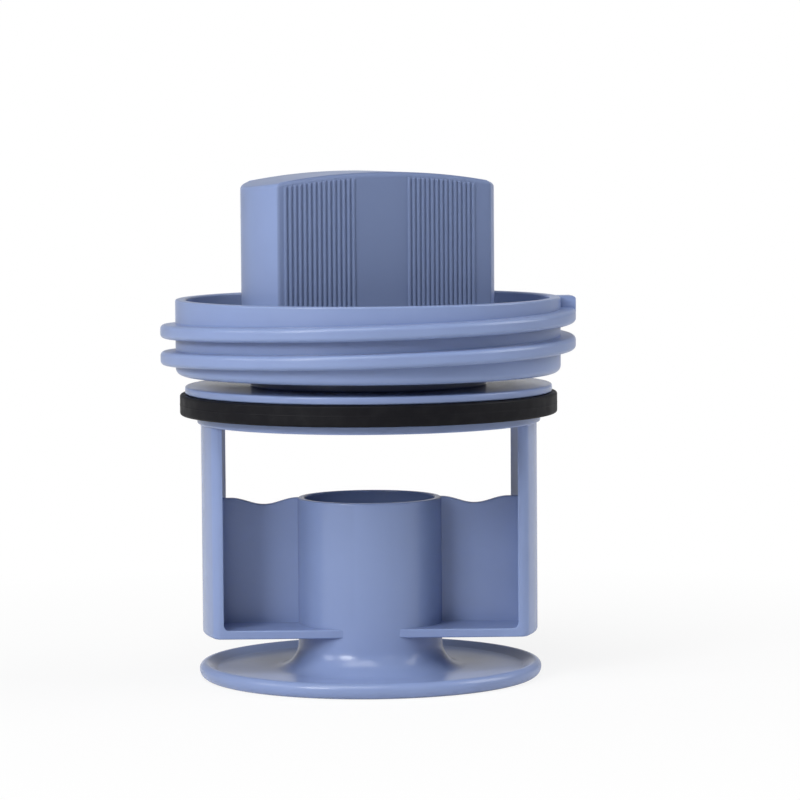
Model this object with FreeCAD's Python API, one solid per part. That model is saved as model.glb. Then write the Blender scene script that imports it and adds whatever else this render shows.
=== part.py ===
import FreeCAD, Part
import math
import os

from FreeCAD import Vector

# Drain pump filter cover, in millimetres.
# A threaded cap with a ribbed grip turns freely on a filter insert. The insert carries a
# rubber ring in a groove, and below it two legs, a shelf, a standing tube and a saucer.
# +Z runs along the axis towards the grip. The origin is the centre of the saucer's underside.
# The legs stand on the X axis. The parting planes of both mouldings follow X and Z.

# Saucer at the foot of the insert
SAUCER_RADIUS = 29.0
SAUCER_FLOOR = 1.6
SAUCER_LIP_HEIGHT = 2.6
SAUCER_LIP_WIDTH = 3.1
SAUCER_LIP_ROUND = 1.0
SAUCER_EDGE_ROUND = 1.5
FLARE_RADIUS = 4.2

# Tube, shelf and webs
TUBE_RADIUS = 12.2
TUBE_WALL = 1.15
TUBE_EDGE_ROUND = 0.3
TUBE_ABOVE_SHELF = 21.2
SHELF_CLEARANCE = 6.15
SHELF_THICKNESS = 1.45
WEB_THICKNESS = 1.5
WEB_DIP = 1.1
WEB_WAVE = 11.3

# Legs and the barrel that carries the seal
BARREL_RADIUS = 28.4
BARREL_WALL = 2.2
LEG_WIDTH = 22.5
LEG_WALL = 1.45
LEG_EDGE_ROUND = 1.0
LEG_FOOT_ROUND = 0.5
LEG_INNER_ROUND = 0.9
WINDOW_HEIGHT = 12.85
LOWER_FLANGE = 1.45
LOWER_FLANGE_REACH = 0.6
UPPER_FLANGE = 1.3
UPPER_FLANGE_REACH = 2.6
FLANGE_EDGE_ROUND = 0.3

# Rubber ring
SEAL_HEIGHT = 3.5
SEAL_WIDTH = 3.45
SEAL_PLAY = 0.05
SEAL_EDGE_ROUND = 0.4

# Snap joint between the insert's closed well and the cap's neck
WELL_RADIUS = 19.9
WELL_WALL = 1.2
WELL_FLOOR = 1.4
WELL_LEDGE = 0.6
LEDGE_LENGTH = 3.55
NECK_WALL = 1.2
NECK_PLAY = 0.05
SNAP_PLAY = 0.15
THRUST_GAP = 0.2
BARB_LAND = 0.9
BARB_LEAD = 1.0
TONGUE_COUNT = 6
TONGUE_SLOT = 2.6

# Cup of the cap
CAP_GAP = 1.9
CUP_RADIUS = 32.5
CUP_HEIGHT = 12.7
CUP_WALL = 1.8
CUP_FLOOR = 2.0
CUP_BOTTOM_ROUND = 1.2
CUP_INNER_ROUND = 1.0
CUP_RIM_ROUND = 0.3

# Coarse thread, one start, right-handed, ending at a stop block
THREAD_DEPTH = 2.55
THREAD_PITCH = 4.5
THREAD_ROOT_WIDTH = 2.5
THREAD_CREST_WIDTH = 2.3
THREAD_CREST_ROUND = 0.75
THREAD_BELOW_RIM = 3.05
THREAD_TURNS = 1.64
THREAD_ROOTED = 0.5
STOP_ANGLE = 8.0
STOP_PROUD = 0.1

# Grip bar
GRIP_LENGTH = 42.7
GRIP_THICKNESS = 24.4
GRIP_CORNER_THICKNESS = 22.0
GRIP_ABOVE_RIM = 21.3
GRIP_CROWN_RADIUS = 105.0
GRIP_WALL = 2.2
GRIP_EDGE_ROUND = 0.8
GRIP_TURN = 15.0
GRIP_SEAT = 0.5

# Fine vertical ribs on the two long faces of the grip
RIBS_PER_GROUP = 15
RIB_PITCH = 0.81
RIB_RADIUS = 0.3
RIB_GROUP_SPACING = 20.9
RIB_GROUP_SHIFT = -1.0
RIB_TOP_MARGIN = 1.0

# Cutting shapes stand this far past the faces they cut
OVERCUT = 1.0

# Edges are found by their size to within this distance
FOUND_WITHIN = 1e-4

# Heights along the axis, stacked from the saucer upwards
SHELF_BOTTOM = SAUCER_FLOOR + SHELF_CLEARANCE
SHELF_TOP = SHELF_BOTTOM + SHELF_THICKNESS
TUBE_TOP = SHELF_TOP + TUBE_ABOVE_SHELF
CARRIER_BOTTOM = TUBE_TOP + WINDOW_HEIGHT
SEAL_BOTTOM = CARRIER_BOTTOM + LOWER_FLANGE
PLATE_BOTTOM = SEAL_BOTTOM + SEAL_HEIGHT + SEAL_PLAY
PLATE_TOP = PLATE_BOTTOM + UPPER_FLANGE
CUP_BOTTOM = PLATE_TOP + CAP_GAP
FLOOR_TOP = CUP_BOTTOM + CUP_FLOOR
RIM_TOP = CUP_BOTTOM + CUP_HEIGHT
GRIP_TOP = RIM_TOP + GRIP_ABOVE_RIM
WELL_TOP = CUP_BOTTOM - THRUST_GAP
LEDGE_BOTTOM = WELL_TOP - LEDGE_LENGTH
WELL_FLOOR_TOP = LEDGE_BOTTOM - BARB_LAND - BARB_LEAD - 2 * SNAP_PLAY

# Radii that fit one another
TUBE_BORE = TUBE_RADIUS - TUBE_WALL
BARREL_BORE = BARREL_RADIUS - BARREL_WALL
LEG_BORE = BARREL_RADIUS - LEG_WALL
LOWER_FLANGE_RADIUS = BARREL_RADIUS + LOWER_FLANGE_REACH
UPPER_FLANGE_RADIUS = BARREL_RADIUS + UPPER_FLANGE_REACH
SEAL_INNER = BARREL_RADIUS + SEAL_PLAY
WELL_BORE = WELL_RADIUS - WELL_WALL
WELL_UNDERCUT = WELL_BORE + WELL_LEDGE
WELL_SKIRT = WELL_UNDERCUT + WELL_WALL
NECK_RADIUS = WELL_BORE - NECK_PLAY
NECK_BORE = NECK_RADIUS - NECK_WALL
BARB_RADIUS = WELL_UNDERCUT - SNAP_PLAY
THREAD_CREST = CUP_RADIUS + THREAD_DEPTH
THREAD_END = RIM_TOP - THREAD_BELOW_RIM

AXIS = Vector(0, 0, 1)
CENTRE = Vector(0, 0, 0)


def at(r, z):
    """A point of a section drawn in the XZ plane."""
    return Vector(r, 0, z)


def line(a, b):
    return Part.LineSegment(a, b).toShape()


def arc(a, middle, b):
    return Part.Arc(a, middle, b).toShape()


def quarter(a, b, centre, radius):
    """A quarter round from a to b about the given centre."""
    middle = (a + b) * 0.5 - centre
    middle.normalize()
    return arc(a, centre + middle * radius, b)


def turned(edges):
    """The solid swept by a closed section turned about the axis."""
    return Part.Face(Part.Wire(edges)).revolve(CENTRE, AXIS, 360)


def turned_polygon(points):
    corners = [at(r, z) for r, z in points]
    return Part.Face(Part.makePolygon(corners + corners[:1])).revolve(CENTRE, AXIS, 360)


def disc(radius, low, high):
    return Part.makeCylinder(radius, high - low, at(0, low), AXIS)


def slab(width_x, width_y, low, high):
    """A block centred on the axis."""
    corner = Vector(-width_x / 2, -width_y / 2, low)
    return Part.makeBox(width_x, width_y, high - low, corner)


def circle_edges(shape, circles):
    """The round edges of a shape about the axis, picked by (radius, height)."""
    found = []
    for edge in shape.Edges:
        curve = edge.Curve
        if not isinstance(curve, Part.Circle):
            continue
        for radius, height in circles:
            same_radius = abs(curve.Radius - radius) < FOUND_WITHIN
            if same_radius and curve.Center.distanceToPoint(at(0, height)) < FOUND_WITHIN:
                found.append(edge)
    return found


def upright_edges(shape):
    """The straight edges of a shape that run parallel to the axis."""
    found = []
    for edge in shape.Edges:
        if isinstance(edge.Curve, Part.Line) and abs(edge.Curve.Direction.z) > 1 - FOUND_WITHIN:
            found.append(edge)
    return found


def saucer_and_tube():
    """The saucer, its upturned lip, the flare and the standing tube, turned as one section. The
    lip's crest is an arc, and the slope from the floor up to it is tangent to that arc."""
    flat_end = at(SAUCER_RADIUS - SAUCER_EDGE_ROUND, 0)
    edge_end = at(SAUCER_RADIUS, SAUCER_EDGE_ROUND)
    edge_centre = at(SAUCER_RADIUS - SAUCER_EDGE_ROUND, SAUCER_EDGE_ROUND)
    lip_centre = at(SAUCER_RADIUS - SAUCER_LIP_ROUND, SAUCER_LIP_HEIGHT - SAUCER_LIP_ROUND)
    lip_out = lip_centre + at(SAUCER_LIP_ROUND, 0)
    lip_top = lip_centre + at(0, SAUCER_LIP_ROUND)
    floor_out = at(SAUCER_RADIUS - SAUCER_LIP_WIDTH, SAUCER_FLOOR)
    slope = floor_out - lip_centre
    slope_angle = math.atan2(slope.z, slope.x) - math.acos(SAUCER_LIP_ROUND / slope.Length)
    lip_in = lip_centre + at(math.cos(slope_angle), math.sin(slope_angle)) * SAUCER_LIP_ROUND
    flare_foot = at(TUBE_RADIUS + FLARE_RADIUS, SAUCER_FLOOR)
    flare_head = at(TUBE_RADIUS, SAUCER_FLOOR + FLARE_RADIUS)
    flare_centre = at(TUBE_RADIUS + FLARE_RADIUS, SAUCER_FLOOR + FLARE_RADIUS)
    tube_out = at(TUBE_RADIUS, TUBE_TOP)
    tube_in = at(TUBE_BORE, TUBE_TOP)
    bore_foot = at(TUBE_BORE, 0)
    body = turned([
        line(bore_foot, flat_end),
        quarter(flat_end, edge_end, edge_centre, SAUCER_EDGE_ROUND),
        line(edge_end, lip_out),
        arc(lip_out, lip_top, lip_in),
        line(lip_in, floor_out),
        line(floor_out, flare_foot),
        quarter(flare_foot, flare_head, flare_centre, FLARE_RADIUS),
        line(flare_head, tube_out),
        line(tube_out, tube_in),
        line(tube_in, bore_foot),
    ])
    rims = circle_edges(body, [(TUBE_RADIUS, TUBE_TOP), (TUBE_BORE, TUBE_TOP)])
    return body.makeFillet(TUBE_EDGE_ROUND, rims)


def legs_and_shelf():
    """Two curved legs joined by a shelf: a strip of a drum, hollowed above the shelf."""
    drum = disc(BARREL_RADIUS, SHELF_BOTTOM, PLATE_BOTTOM)
    strip = slab(2 * UPPER_FLANGE_RADIUS, LEG_WIDTH, SHELF_BOTTOM, PLATE_BOTTOM).common(drum)
    strip = strip.makeFillet(LEG_EDGE_ROUND, upright_edges(strip))
    foot = circle_edges(drum, [(BARREL_RADIUS, SHELF_BOTTOM)])
    strip = strip.common(drum.makeFillet(LEG_FOOT_ROUND, foot))
    strip = strip.cut(disc(LEG_BORE, SHELF_TOP, PLATE_BOTTOM))
    corner = circle_edges(strip, [(LEG_BORE, SHELF_TOP)])
    return strip.makeFillet(LEG_INNER_ROUND, corner)


def web(side):
    """A thin plate from the tube to a leg. Beside the tube its top edge dips in one soft wave:
    an arc, an arc the other way and an arc again, all of one radius and tangent to one another."""
    half = WEB_WAVE / 2
    radius = (half ** 2 + WEB_DIP ** 2) / (4 * WEB_DIP)
    lean = math.asin(half / (2 * radius)) / 2
    lean_out = radius * math.sin(lean)
    lean_down = radius * (1 - math.cos(lean))
    shoulder = TUBE_RADIUS + WEB_WAVE
    tube_end = TUBE_RADIUS - TUBE_WALL / 2
    leg_end = BARREL_RADIUS - LEG_WALL / 2
    foot = SHELF_TOP - SHELF_THICKNESS / 2

    def place(r, z):
        return at(side * r, z)

    outer_turn = place(shoulder - half / 2, TUBE_TOP - WEB_DIP / 2)
    inner_turn = place(TUBE_RADIUS + half / 2, TUBE_TOP - WEB_DIP / 2)
    outer_middle = place(shoulder - lean_out, TUBE_TOP - lean_down)
    inner_middle = place(TUBE_RADIUS + lean_out, TUBE_TOP - lean_down)
    lowest = place(shoulder - half, TUBE_TOP - WEB_DIP)
    outline = [
        line(place(tube_end, foot), place(leg_end, foot)),
        line(place(leg_end, foot), place(leg_end, TUBE_TOP)),
        line(place(leg_end, TUBE_TOP), place(shoulder, TUBE_TOP)),
        arc(place(shoulder, TUBE_TOP), outer_middle, outer_turn),
        arc(outer_turn, lowest, inner_turn),
        arc(inner_turn, inner_middle, place(TUBE_RADIUS, TUBE_TOP)),
        line(place(TUBE_RADIUS, TUBE_TOP), place(tube_end, TUBE_TOP)),
        line(place(tube_end, TUBE_TOP), place(tube_end, foot)),
    ]
    plate = Part.Face(Part.Wire(outline)).extrude(Vector(0, WEB_THICKNESS, 0))
    plate.translate(Vector(0, -WEB_THICKNESS / 2, 0))
    return plate


def carrier():
    """The barrel with its seal groove, closed by a plate that sinks into a central well."""
    body = turned_polygon([
        (0, WELL_FLOOR_TOP - WELL_FLOOR),
        (WELL_SKIRT, WELL_FLOOR_TOP - WELL_FLOOR),
        (WELL_SKIRT, PLATE_BOTTOM),
        (BARREL_BORE, PLATE_BOTTOM),
        (BARREL_BORE, CARRIER_BOTTOM),
        (LOWER_FLANGE_RADIUS, CARRIER_BOTTOM),
        (LOWER_FLANGE_RADIUS, SEAL_BOTTOM),
        (BARREL_RADIUS, SEAL_BOTTOM),
        (BARREL_RADIUS, PLATE_BOTTOM),
        (UPPER_FLANGE_RADIUS, PLATE_BOTTOM),
        (UPPER_FLANGE_RADIUS, PLATE_TOP),
        (WELL_RADIUS, PLATE_TOP),
        (WELL_RADIUS, WELL_TOP),
        (WELL_BORE, WELL_TOP),
        (WELL_BORE, LEDGE_BOTTOM),
        (WELL_UNDERCUT, LEDGE_BOTTOM),
        (WELL_UNDERCUT, WELL_FLOOR_TOP),
        (0, WELL_FLOOR_TOP),
    ])
    rounded = circle_edges(body, [
        (LOWER_FLANGE_RADIUS, CARRIER_BOTTOM),
        (LOWER_FLANGE_RADIUS, SEAL_BOTTOM),
        (UPPER_FLANGE_RADIUS, PLATE_BOTTOM),
        (UPPER_FLANGE_RADIUS, PLATE_TOP),
    ])
    return body.makeFillet(FLANGE_EDGE_ROUND, rounded)


def filter_insert():
    body = saucer_and_tube()
    bore = disc(TUBE_BORE, -OVERCUT, TUBE_TOP + OVERCUT)
    frame = legs_and_shelf().fuse([web(1), web(-1)]).cut(bore)
    return body.fuse([frame, carrier()]).removeSplitter()


def sealing_ring():
    """The rubber ring, seated on the lower flange with a little play at the groove's root."""
    outer = SEAL_INNER + SEAL_WIDTH
    top = SEAL_BOTTOM + SEAL_HEIGHT
    ring = disc(outer, SEAL_BOTTOM, top).cut(disc(SEAL_INNER, SEAL_BOTTOM, top))
    edges = circle_edges(ring, [(outer, SEAL_BOTTOM), (outer, top)])
    return ring.makeFillet(SEAL_EDGE_ROUND, edges)


def cup():
    """The open cup, with a closed floor that the grip stands on."""
    body = disc(CUP_RADIUS, CUP_BOTTOM, RIM_TOP)
    body = body.cut(disc(CUP_RADIUS - CUP_WALL, FLOOR_TOP, RIM_TOP))
    body = body.makeFillet(CUP_BOTTOM_ROUND, circle_edges(body, [(CUP_RADIUS, CUP_BOTTOM)]))
    corner = circle_edges(body, [(CUP_RADIUS - CUP_WALL, FLOOR_TOP)])
    body = body.makeFillet(CUP_INNER_ROUND, corner)
    rim = circle_edges(body, [(CUP_RADIUS, RIM_TOP), (CUP_RADIUS - CUP_WALL, RIM_TOP)])
    return body.makeFillet(CUP_RIM_ROUND, rim)


def neck():
    """The ring of snap tongues under the floor, with barbs that hook below the well's ledge."""
    barb_top = LEDGE_BOTTOM - SNAP_PLAY
    land_bottom = barb_top - BARB_LAND
    tip = land_bottom - BARB_LEAD
    ring = turned_polygon([
        (NECK_BORE, tip),
        (NECK_RADIUS - NECK_PLAY, tip),
        (BARB_RADIUS, land_bottom),
        (BARB_RADIUS, barb_top),
        (NECK_RADIUS, barb_top),
        (NECK_RADIUS, CUP_BOTTOM + CUP_FLOOR / 2),
        (NECK_BORE, CUP_BOTTOM + CUP_FLOOR / 2),
    ])
    slot = Part.makeBox(BARB_RADIUS, TONGUE_SLOT, CUP_BOTTOM - tip,
                        Vector(NECK_BORE / 2, -TONGUE_SLOT / 2, tip))
    for index in range(TONGUE_COUNT):
        cutter = slot.copy()
        cutter.rotate(CENTRE, AXIS, (index + 0.5) * 360.0 / TONGUE_COUNT)
        ring = ring.cut(cutter)
    return ring


def thread_section():
    """The ridge's section: a blunt wedge with rounded crest corners, rooted in the wall."""
    root = CUP_RADIUS - THREAD_ROOTED
    half_root = THREAD_ROOT_WIDTH / 2
    half_crest = THREAD_CREST_WIDTH / 2
    flank_end = THREAD_CREST - THREAD_CREST_ROUND
    land = half_crest - THREAD_CREST_ROUND
    middle = THREAD_CREST_ROUND * math.sqrt(0.5)
    low_round = at(flank_end + middle, -land - middle)
    high_round = at(flank_end + middle, land + middle)
    return Part.Wire([
        line(at(root, -half_root), at(flank_end, -half_crest)),
        arc(at(flank_end, -half_crest), low_round, at(THREAD_CREST, -land)),
        line(at(THREAD_CREST, -land), at(THREAD_CREST, land)),
        arc(at(THREAD_CREST, land), high_round, at(flank_end, half_crest)),
        line(at(flank_end, half_crest), at(root, half_root)),
        line(at(root, half_root), at(root, -half_root)),
    ])


def thread():
    """The helical ridge, planed flat at its start so that it rises out of the wall."""
    rise = THREAD_PITCH * THREAD_TURNS
    start_angle = -360.0 * THREAD_TURNS
    spine = Part.makeHelix(THREAD_PITCH, rise, CUP_RADIUS)
    ridge = Part.Wire(spine).makePipeShell([thread_section()], True, True)
    plane = Part.makeBox(THREAD_DEPTH + CUP_RADIUS, 2 * CUP_RADIUS, THREAD_PITCH,
                         Vector(CUP_RADIUS, -CUP_RADIUS, -THREAD_PITCH / 2))
    ridge = ridge.cut(plane)
    ridge.rotate(CENTRE, AXIS, start_angle + STOP_ANGLE / 2)
    ridge.translate(at(0, THREAD_END - rise))
    return ridge


def stop_block():
    """The block that ends the thread, from the ridge's underside up to the rim."""
    low = THREAD_END - THREAD_ROOT_WIDTH / 2
    root = CUP_RADIUS - CUP_WALL / 2
    crest = THREAD_CREST + STOP_PROUD
    corners = [at(root, low), at(crest, low), at(crest, RIM_TOP), at(root, RIM_TOP)]
    section = Part.Face(Part.makePolygon(corners + corners[:1]))
    return section.revolve(CENTRE, AXIS, STOP_ANGLE)


def bar(end_radius, middle_half, corner_half, low, high):
    """A bar with ends round about the axis and gently bulging long faces."""
    corner_x = math.sqrt(end_radius ** 2 - corner_half ** 2)
    right_front = Vector(corner_x, -corner_half, low)
    right_back = Vector(corner_x, corner_half, low)
    left_back = Vector(-corner_x, corner_half, low)
    left_front = Vector(-corner_x, -corner_half, low)
    outline = Part.Wire([
        arc(right_front, Vector(end_radius, 0, low), right_back),
        arc(right_back, Vector(0, middle_half, low), left_back),
        arc(left_back, Vector(-end_radius, 0, low), left_front),
        arc(left_front, Vector(0, -middle_half, low), right_front),
    ])
    return Part.Face(outline).extrude(at(0, high - low))


def crown_drop(place):
    """How far the arched top lies below its peak at a place along the bar."""
    return GRIP_CROWN_RADIUS - math.sqrt(GRIP_CROWN_RADIUS ** 2 - place ** 2)


def crown(top):
    """The space under a top that arches along the bar's length."""
    reach = GRIP_LENGTH
    shoulder = top - crown_drop(reach)
    section = Part.Face(Part.Wire([
        line(at(-reach, 0), at(reach, 0)),
        line(at(reach, 0), at(reach, shoulder)),
        arc(at(reach, shoulder), at(0, top), at(-reach, shoulder)),
        line(at(-reach, shoulder), at(-reach, 0)),
    ]))
    section.translate(Vector(0, -reach, 0))
    return section.extrude(Vector(0, 2 * reach, 0))


def rib_positions():
    """Places of the ribs along one long face, in two groups."""
    places = []
    for side in (-1, 1):
        middle = RIB_GROUP_SHIFT + side * RIB_GROUP_SPACING / 2
        for index in range(RIBS_PER_GROUP):
            places.append(middle + (index - (RIBS_PER_GROUP - 1) / 2) * RIB_PITCH)
    return places


def grip_ribs(foot):
    """Half-round ribs standing on both long faces and stopping below the top edge."""
    half = GRIP_THICKNESS / 2
    corner_half = GRIP_CORNER_THICKNESS / 2
    corner_x = math.sqrt((GRIP_LENGTH / 2) ** 2 - corner_half ** 2)
    bulge = half - corner_half
    face_radius = (corner_x ** 2 + bulge ** 2) / (2 * bulge)
    ribs = []
    for place in rib_positions():
        depth = half - face_radius + math.sqrt(face_radius ** 2 - place ** 2)
        head = GRIP_TOP - crown_drop(place) - RIB_TOP_MARGIN
        for side in (-1, 1):
            base = Vector(-side * place, side * depth, foot)
            ribs.append(Part.makeCylinder(RIB_RADIUS, head - foot, base, AXIS))
    return ribs


def grip():
    """The solid grip bar with its crowned top, rounded edges and ribs."""
    foot = FLOOR_TOP - GRIP_SEAT
    end = GRIP_LENGTH / 2
    block = bar(end, GRIP_THICKNESS / 2, GRIP_CORNER_THICKNESS / 2, foot, GRIP_TOP + OVERCUT)
    block = block.common(crown(GRIP_TOP))
    edges = [edge for edge in block.Edges if edge.BoundBox.ZMax > foot + GRIP_EDGE_ROUND]
    return block.makeFillet(GRIP_EDGE_ROUND, edges).fuse(grip_ribs(foot))


def grip_hollow():
    """The space inside the grip, open downwards through the neck."""
    middle = GRIP_THICKNESS / 2 - GRIP_WALL
    corner = GRIP_CORNER_THICKNESS / 2 - GRIP_WALL
    hollow = bar(NECK_BORE, middle, corner, CUP_BOTTOM, GRIP_TOP)
    return hollow.common(crown(GRIP_TOP - GRIP_WALL))


def screw_cap():
    body = cup().fuse([neck(), stop_block(), thread()])
    body = body.fuse([turned_to_rest(grip())])
    return body.cut(turned_to_rest(grip_hollow()))


def turned_to_rest(shape):
    """The grip stands a little turned from the legs, as the cap was left."""
    shape.rotate(CENTRE, AXIS, GRIP_TURN)
    return shape


os.makedirs("parts", exist_ok=True)
for node, shape in (
    ("filter_insert", filter_insert()),
    ("sealing_ring", sealing_ring()),
    ("screw_cap", screw_cap()),
):
    solids = shape.Solids
    print(node, "solids", len(solids), "valid", shape.isValid(), "volume", round(shape.Volume, 1))
    solids[0].exportStep("parts/" + node + ".step")
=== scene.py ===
# %% [markdown]
# Drain pump filter cover: dressing a packed construction model in Blender.
# The real thing is three mouldings. A threaded cap with a ribbed grip is snapped into a filter
# insert and turns on it, and a black rubber ring sits in a groove round the insert.
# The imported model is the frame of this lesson: it says where each moulding is and what turns.
# Each moulding is then drawn again as a fine skin, because a real moulding has a small round on
# every edge, and those rounds are what the light picks out. Nothing is moved or resized.

# %% Load the frame
import bmesh
import bpy
import numpy as np
from math import asin, cos, radians, sin, tan
from mathutils import Euler, Matrix, Vector


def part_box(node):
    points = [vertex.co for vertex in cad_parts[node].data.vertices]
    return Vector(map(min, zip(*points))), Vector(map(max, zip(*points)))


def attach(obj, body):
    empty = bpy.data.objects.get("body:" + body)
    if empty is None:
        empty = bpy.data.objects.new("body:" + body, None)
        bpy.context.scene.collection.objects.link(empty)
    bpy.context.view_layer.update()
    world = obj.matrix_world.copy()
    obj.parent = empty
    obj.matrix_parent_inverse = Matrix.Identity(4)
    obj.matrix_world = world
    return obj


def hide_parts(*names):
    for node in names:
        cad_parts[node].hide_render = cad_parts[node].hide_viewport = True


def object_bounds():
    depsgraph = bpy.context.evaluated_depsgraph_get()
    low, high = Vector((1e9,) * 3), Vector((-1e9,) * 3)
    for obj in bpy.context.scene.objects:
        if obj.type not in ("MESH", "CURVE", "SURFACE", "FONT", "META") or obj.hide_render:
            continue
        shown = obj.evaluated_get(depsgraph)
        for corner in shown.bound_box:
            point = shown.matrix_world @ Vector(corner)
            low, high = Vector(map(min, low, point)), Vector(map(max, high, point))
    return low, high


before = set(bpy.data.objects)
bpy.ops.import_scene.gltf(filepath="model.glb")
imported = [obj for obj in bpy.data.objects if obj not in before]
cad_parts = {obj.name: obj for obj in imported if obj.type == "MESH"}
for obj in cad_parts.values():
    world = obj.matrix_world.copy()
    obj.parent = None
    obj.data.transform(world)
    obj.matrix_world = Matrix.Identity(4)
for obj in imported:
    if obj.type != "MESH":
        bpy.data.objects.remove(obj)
frame_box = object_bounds()
MM = 0.001
print("frame box in mm", [[round(v / MM, 2) for v in corner] for corner in frame_box])

# %% [markdown]
# The mouldings fit one another, so most heights follow from three boxes in the frame: the
# insert's, the ring's and the cap's. Every other size is a named value in millimetres, given
# where it is first needed. The shapes are worked out in millimetres and turned into metres
# only when a mesh is made.

# %% Heights and radii that the frame gives
def box_in_mm(node):
    """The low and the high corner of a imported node's box."""
    low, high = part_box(node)
    return np.array(low) / MM, np.array(high) / MM

insert_low, insert_high = box_in_mm("filter_insert")
ring_low, ring_high = box_in_mm("sealing_ring")
cap_low, cap_high = box_in_mm("screw_cap")
FLANGE_RADIUS = insert_high[0]
RING_RADIUS = ring_high[0]
STOP_RADIUS = cap_high[0]
WELL_TOP = insert_high[2]
RING_BOTTOM, RING_TOP = ring_low[2], ring_high[2]
TONGUE_TIP = cap_low[2]
print("flange", FLANGE_RADIUS, "ring", RING_RADIUS, "well top", WELL_TOP, "tongue tip", TONGUE_TIP)

# %% [markdown]
# A section drawn with sharp corners looks cut from a block. The first helper therefore takes the
# corners of a section and rounds each by its own radius, with an arc that touches both sides.
# It could be done with a Bevel modifier, but a formula keeps the same points on every rerun and
# lets a large round and a small one lie side by side.

# %% Rounded outlines
ARC_STEPS = 6

def unit(v):
    """Vectors divided by their own lengths."""
    return v / np.linalg.norm(v, axis=-1, keepdims=True)

def rounded(corners, radii, closed=True, steps=ARC_STEPS):
    """An outline with arcs for corners. At each corner the arc starts and ends radius / tan(half
    the corner's angle) along the two sides, its centre lies on the bisector at radius / sin(half),
    and its points turn about the centre at even steps."""
    corner = np.asarray(corners, float)
    radius = np.broadcast_to(np.asarray(radii, float), len(corner))[:, None]
    before = unit(np.roll(corner, 1, axis=0) - corner)
    after = unit(np.roll(corner, -1, axis=0) - corner)
    half = np.arccos(np.clip((before * after).sum(1), -0.999999, 0.999999))[:, None] / 2
    centre = corner + unit(before + after) * radius / np.sin(half)
    start = corner + before * radius / np.tan(half) - centre
    stop = corner + after * radius / np.tan(half) - centre
    turn = (np.pi - 2 * half)[:, None]
    share = np.linspace(0, 1, steps)[None, :, None]
    mix = np.sin((1 - share) * turn) * start[:, None] + np.sin(share * turn) * stop[:, None]
    points = (centre[:, None] + mix / np.sin(turn)).reshape(-1, 2)
    return points if closed else points[steps - 1:1 - steps]

def rounded_section(corners, closed=True, steps=ARC_STEPS):
    """A rounded outline from corners that are each written as (radius, height, round)."""
    corners = np.array(corners, float)
    return rounded(corners[:, :2], corners[:, 2], closed, steps)

def shrunk(outline, inset):
    """A closed outline moved inwards: each point goes by inset along the normal of its neighbours."""
    ahead = np.roll(outline, -1, axis=0)
    along = unit(ahead - np.roll(outline, 1, axis=0))
    area = (outline[:, 0] * ahead[:, 1] - outline[:, 1] * ahead[:, 0]).sum()
    inward = np.stack([-along[:, 1], along[:, 0]], 1) * np.sign(area)
    return outline + inward * inset

def stepped(outline, longest, closed=True, model=None):
    """The outline with extra points on its long straight stretches, so that no two neighbours of
    the model, which is the outline itself unless another is given, are further apart than longest."""
    model = outline if model is None else model
    sides = (np.roll(model, -1, axis=0) - model)[:len(model) if closed else -1]
    parts = np.maximum(1, np.ceil(np.linalg.norm(sides, axis=1) / longest)).astype(int)
    which = np.repeat(np.arange(len(parts)), parts)
    share = (np.arange(parts.sum()) - np.repeat(np.cumsum(parts) - parts, parts)) / parts[which]
    ahead = np.roll(outline, -1, axis=0)
    points = outline[which] + (ahead - outline)[which] * share[:, None]
    return points if closed else np.concatenate([points, outline[-1:]])

# %% [markdown]
# Every moulding is made of skins, and every skin is a grid: rows of closed curves, each row
# joined to the next. A turned piece is a section repeated about the axis, a bar is an outline
# carried along its length, and a ridge is a section carried up a helix. One helper joins the
# rows, welds the points that meet at a pole, and turns all faces outwards.

# %% From rows of points to a closed skin
WELD = 2e-7

def grid_faces(rows, along):
    """Four-sided faces between neighbours of a grid. Every row closes on itself, and so does every
    column where along is true."""
    index = np.arange(rows.shape[0] * rows.shape[1]).reshape(rows.shape[:2])
    ahead = np.roll(index, -1, axis=1)
    quads = np.stack([index, ahead, np.roll(ahead, -1, axis=0), np.roll(index, -1, axis=0)], -1)
    return (quads if along else quads[:-1]).reshape(-1, 4)

def skin(name, rows, along=False, capped=False):
    """A closed mesh from rows of points in mm. capped closes the first and last rows by one face."""
    rows = np.asarray(rows, float)
    faces = grid_faces(rows, along).tolist()
    if capped:
        last = len(rows) * rows.shape[1]
        faces += [list(range(rows.shape[1])), list(range(last - rows.shape[1], last))]
    mesh = bpy.data.meshes.new(name)
    mesh.from_pydata((rows.reshape(-1, 3) * MM).tolist(), [], faces)
    tidy = bmesh.new()
    tidy.from_mesh(mesh)
    bmesh.ops.remove_doubles(tidy, verts=tidy.verts, dist=WELD)
    loose = [edge for edge in tidy.edges if not edge.link_faces]
    bmesh.ops.delete(tidy, geom=loose, context="EDGES")
    bmesh.ops.recalc_face_normals(tidy, faces=tidy.faces)
    tidy.to_mesh(mesh)
    tidy.free()
    piece = bpy.data.objects.new(name, mesh)
    bpy.context.scene.collection.objects.link(piece)
    return piece

# %% Turned skins
TURN_STEPS = 288
LONGEST_STEP = 1.6

def about_axis(section, angles):
    """Rows of points: each point (r, z) of a section goes to (r cos a, r sin a, z) for every angle."""
    r, z = section[:, 0, None], section[:, 1, None]
    return np.stack([r * np.cos(angles), r * np.sin(angles), z + 0 * angles], -1)

def turned(name, section, closed=True):
    """The section turned about the axis, with rows close enough together to take a clean cut."""
    angles = np.linspace(0, 2 * np.pi, TURN_STEPS, endpoint=False)
    return skin(name, about_axis(stepped(section, LONGEST_STEP, closed), angles), along=closed)

# %% [markdown]
# A moulding is one piece of plastic, so its skins are united into one: where a leg runs into the
# shelf there is one surface and no wall inside. The union is Blender's Manifold boolean, which
# is exact enough for closed skins and quick. Faces that meet at more than a set angle keep a crisp
# edge, and face-weighted normals keep flat walls flat beside their small rounds.

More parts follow.
